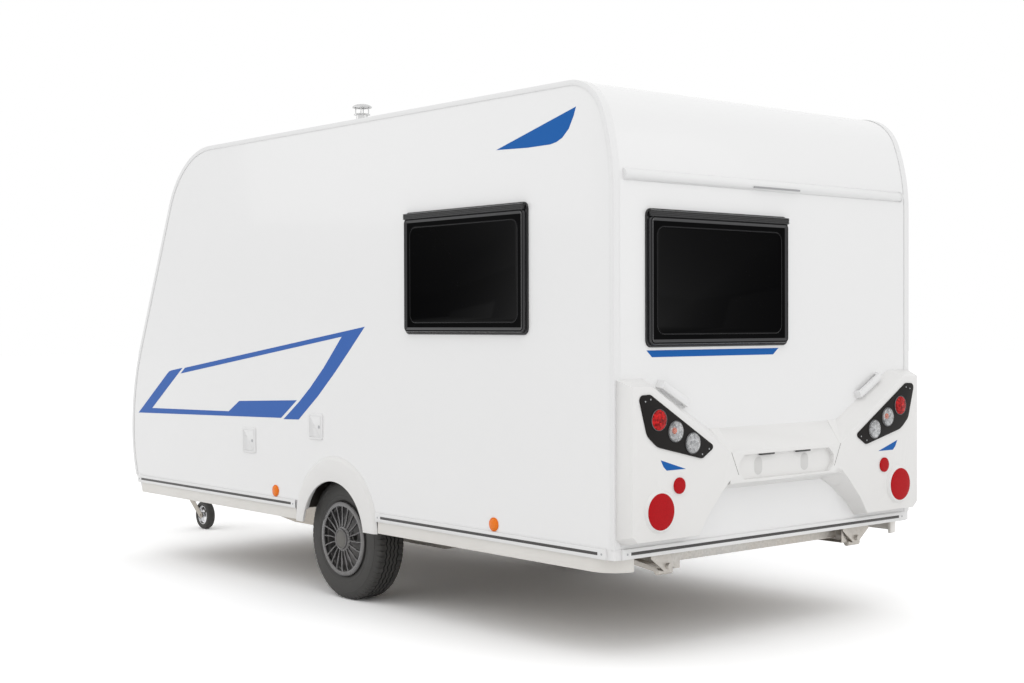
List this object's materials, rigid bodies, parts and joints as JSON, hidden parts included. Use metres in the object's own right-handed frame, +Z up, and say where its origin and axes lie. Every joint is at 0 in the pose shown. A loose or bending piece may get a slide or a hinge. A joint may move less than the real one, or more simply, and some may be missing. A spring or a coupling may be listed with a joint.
{
  "type": "travel caravan",
  "caption": "White travel caravan on a road axle, with a hollow cabin, an A-frame tow bar with a ball coupling, a jockey wheel, corner steadies, an entrance door and a nose gas locker",
  "frame": {"origin": "on the ground, in the middle of the overall length and width", "axes": "+X forward to the tow coupling, +Y to the vehicle's left, +Z up"},
  "size_m": [5.868, 2.163, 2.69],
  "materials": {
    "body_white": "gloss white painted sheet",
    "skirt_white": "warm off-white painted sheet",
    "rail_white": "white trim",
    "moulding_white": "white moulded plastic, satin",
    "arch_white": "white moulded plastic",
    "rooflight_white": "milky white acrylic dome",
    "floor_ply": "sandwich panel faced with plywood",
    "frame_black": "black window profile",
    "smoked_acrylic": "near-black smoked acrylic",
    "insert_black": "black flexible strip",
    "wheelhouse_black": "black moulded wheel box",
    "galvanised_steel": "galvanised steel",
    "coupling_steel": "black painted casting",
    "handle_black": "black grip plastic",
    "rubber_black": "black rubber bellows",
    "tyre": "black tyre rubber",
    "wheel_silver": "silver painted steel wheel",
    "trim_grey": "anthracite painted plastic",
    "chrome_rim": "bright plated steel",
    "fork_grey": "warm grey plated steel",
    "lamp_base": "dark grey plastic",
    "lamp_red": "red clear plastic lens",
    "marker_amber": "amber clear plastic reflector"
  },
  "bodies": {
    "body": {"arch_mouldings": "arch_white", "axle_beam": "galvanised_steel", "brake_lever": "handle_black", "chassis_members": "galvanised_steel", "coupling_handle": "handle_black", "coupling_head": "coupling_steel", "cross_members": "galvanised_steel", "drawbars": "galvanised_steel", "edge_rails": "rail_white", "floor_panel": "floor_ply", "flue_cowl": "galvanised_steel", "fridge_vents": "rail_white", "front_panel": "body_white", "gaiter": "rubber_black", "gas_locker": "floor_ply", "grab_handles": "rail_white", "hinges": "rail_white", "jockey_clamp": "galvanised_steel", "jockey_mast": "galvanised_steel", "lamp_panels": "lamp_base", "overrun_housing": "galvanised_steel", "rear_lamps": "lamp_red", "rear_moulding": "moulding_white", "rear_reflectors": "lamp_red", "rear_seam_cover": "rail_white", "roof_panel": "body_white", "rooflights": "rooflight_white", "service_flaps": "rail_white", "side_markers": "marker_amber", "sill_inserts": "insert_black", "sill_rails": "rail_white", "skirts": "skirt_white", "steady_frames": "galvanised_steel", "trailing_arms": "galvanised_steel", "wall_left": "body_white", "wall_rear": "body_white", "wall_right": "body_white", "wheel_boxes": "wheelhouse_black", "window_frames": "frame_black", "window_panes": "smoked_acrylic"},
    "wheel_left": {"tyre_left": "tyre", "rim_left": "wheel_silver", "wheel_trim_left": "trim_grey"},
    "wheel_right": {"tyre_right": "tyre", "rim_right": "wheel_silver", "wheel_trim_right": "trim_grey"},
    "jockey_tube": {"jockey_inner_tube": "galvanised_steel"},
    "jockey_fork_body": {"jockey_fork": "fork_grey"},
    "jockey_wheel": {"jockey_rim": "chrome_rim", "jockey_tyre": "tyre"},
    "steady_front_left": {"steady_leg_front_left": "galvanised_steel"},
    "steady_front_right": {"steady_leg_front_right": "galvanised_steel"},
    "steady_rear_left": {"steady_leg_rear_left": "galvanised_steel"},
    "steady_rear_right": {"steady_leg_rear_right": "galvanised_steel"},
    "door": {"entrance_door": "body_white", "door_fittings": "frame_black", "door_pane": "smoked_acrylic"},
    "service_hatch": {"service_door": "body_white"},
    "locker_hatch": {"locker_lid": "body_white"}
  },
  "joints": [
    {"name": "wheel_left_spin", "type": "hinge", "parent": "body", "child": "wheel_left", "pos_m": [-0.693, 0.9, 0.325], "axis": [0, 1, 0], "continuous": true},
    {"name": "wheel_right_spin", "type": "hinge", "parent": "body", "child": "wheel_right", "pos_m": [-0.693, -0.9, 0.325], "axis": [0, 1, 0], "continuous": true},
    {"name": "jockey_screw", "type": "slide", "parent": "body", "child": "jockey_tube", "axis": [0, 0, 1], "range_m": [-0.04, 0.15]},
    {"name": "jockey_swivel", "type": "hinge", "parent": "jockey_tube", "child": "jockey_fork_body", "pos_m": [2.462, 0.15, 0.217], "axis": [0, 0, 1], "continuous": true},
    {"name": "jockey_spin", "type": "hinge", "parent": "jockey_fork_body", "child": "jockey_wheel", "pos_m": [2.332, 0.15, 0.1], "axis": [0, 1, 0], "continuous": true},
    {"name": "steady_front_left_swing", "type": "hinge", "parent": "body", "child": "steady_front_left", "pos_m": [0.862, 0.678, 0.43], "axis": [0, 1, 0], "range_deg": [0, 63]},
    {"name": "steady_front_right_swing", "type": "hinge", "parent": "body", "child": "steady_front_right", "pos_m": [0.862, -0.678, 0.43], "axis": [0, 1, 0], "range_deg": [0, 63]},
    {"name": "steady_rear_left_swing", "type": "hinge", "parent": "body", "child": "steady_rear_left", "pos_m": [-2.338, 0.678, 0.43], "axis": [0, -1, 0], "range_deg": [0, 63]},
    {"name": "steady_rear_right_swing", "type": "hinge", "parent": "body", "child": "steady_rear_right", "pos_m": [-2.338, -0.678, 0.43], "axis": [0, -1, 0], "range_deg": [0, 63]},
    {"name": "entrance_door_hinge", "type": "hinge", "parent": "body", "child": "door", "pos_m": [0.3655, -1.059, 1.381], "axis": [0, 0, 1], "range_deg": [0, 165]},
    {"name": "service_door_hinge", "type": "hinge", "parent": "body", "child": "service_hatch", "pos_m": [-2.3145, -1.059, 0.7575], "axis": [0, 0, 1], "range_deg": [0, 120]},
    {"name": "locker_lid_hinge", "type": "hinge", "parent": "body", "child": "locker_hatch", "pos_m": [1.616, 0, 1.1258], "axis": [0, -1, 0], "range_deg": [0, 80]}
  ]
}
